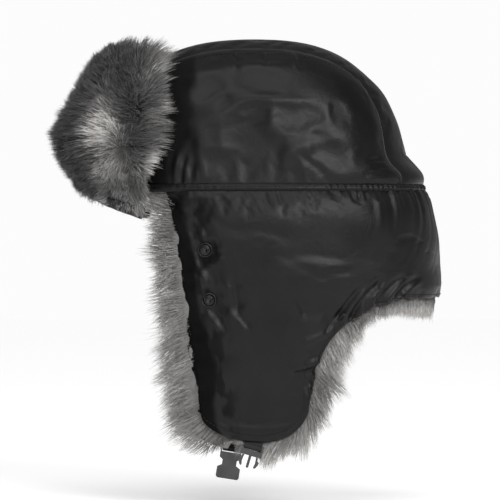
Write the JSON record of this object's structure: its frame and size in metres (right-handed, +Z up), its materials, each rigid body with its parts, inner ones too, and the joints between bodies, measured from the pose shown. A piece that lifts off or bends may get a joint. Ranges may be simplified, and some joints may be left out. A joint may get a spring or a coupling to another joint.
{
  "type": "trapper hat",
  "caption": "Padded winter trapper hat with a folded-up fur visor, fur-lined ear flaps, a gathered neck curtain, mask snaps and a side-release chin buckle.",
  "frame": {"origin": "middle of the head opening at the height of the seam band", "axes": "+Z up to the crown's top, -Y to the front of the hat, +X to the wearer's left"},
  "size_m": [0.2192, 0.3213, 0.3771],
  "materials": {
    "nylon": "satin",
    "wadding": "soft",
    "quilted_lining": "quilted satin",
    "visor_fur": "long pile",
    "lining_fur": "long pile",
    "elastic": "woven",
    "snap_metal": "gunmetal lacquer",
    "webbing": "woven",
    "buckle_plastic": "fine satin"
  },
  "bodies": {
    "crown": {"crown_centre_panel": "nylon", "crown_left_panel": "nylon", "crown_right_panel": "nylon", "crown_wadding": "wadding", "crown_lining": "quilted_lining", "seam_band": "nylon", "back_elastic": "elastic", "neck_shell": "nylon", "neck_wadding": "wadding", "neck_fur": "lining_fur"},
    "visor": {"visor_shell": "nylon", "visor_wadding": "wadding", "visor_fur": "visor_fur"},
    "left_flap": {"left_flap_shell": "nylon", "left_flap_wadding": "wadding", "left_flap_fur": "lining_fur", "left_snap_studs": "snap_metal", "left_snap_caps": "snap_metal", "left_strap_tab": "webbing"},
    "left_strap": {"left_strap_loop": "webbing"},
    "plug": {"buckle_plug": "buckle_plastic"},
    "prong_front": {"plug_prong_front": "buckle_plastic"},
    "prong_back": {"plug_prong_back": "buckle_plastic"},
    "right_flap": {"right_flap_shell": "nylon", "right_flap_wadding": "wadding", "right_flap_fur": "lining_fur", "right_snap_studs": "snap_metal", "right_snap_caps": "snap_metal", "right_strap_tab": "webbing"},
    "right_strap": {"right_strap_loop": "webbing"},
    "socket": {"buckle_socket": "buckle_plastic"}
  },
  "joints": [
    {"name": "visor_fold", "type": "hinge", "parent": "crown", "child": "visor", "pos_m": [0, -0.126, -0.006], "axis": [1, 0, 0], "range_deg": [0, 100]},
    {"name": "left_flap_fold", "type": "hinge", "parent": "crown", "child": "left_flap", "pos_m": [0.1015, -0.084, -0.004], "axis": [0, -0.8787, 0.4774], "range_deg": [0, 150]},
    {"name": "right_flap_fold", "type": "hinge", "parent": "crown", "child": "right_flap", "pos_m": [-0.1015, -0.084, -0.004], "axis": [0, 0.8787, -0.4774], "range_deg": [0, 150]},
    {"name": "left_strap_swing", "type": "hinge", "parent": "left_flap", "child": "left_strap", "pos_m": [0.084, -0.0105, -0.2085], "axis": [0, 0.9588, -0.284], "range_deg": [-15, 55]},
    {"name": "plug_pivot", "type": "hinge", "parent": "left_strap", "child": "plug", "pos_m": [0.084, -0.01169, -0.21253], "axis": [0, 0.9588, -0.284], "range_deg": [-35, 35]},
    {"name": "prong_front_flex", "type": "hinge", "parent": "plug", "child": "prong_front", "pos_m": [0.084, -0.0194, -0.21848], "axis": [1, 0, 0], "range_deg": [0, 6], "stiffness_Nm_per_rad": 0.3},
    {"name": "prong_back_flex", "type": "hinge", "parent": "plug", "child": "prong_back", "pos_m": [0.084, -0.00847, -0.22172], "axis": [-1, 0, 0], "range_deg": [0, 6], "stiffness_Nm_per_rad": 0.3},
    {"name": "right_strap_swing", "type": "hinge", "parent": "right_flap", "child": "right_strap", "pos_m": [-0.084, -0.028, -0.2115], "axis": [0, -0.9877, 0.1564], "range_deg": [-15, 55]},
    {"name": "socket_pivot", "type": "hinge", "parent": "right_strap", "child": "socket", "pos_m": [-0.084, -0.02988, -0.22335], "axis": [0, -0.9877, 0.1564], "range_deg": [-35, 35]}
  ]
}
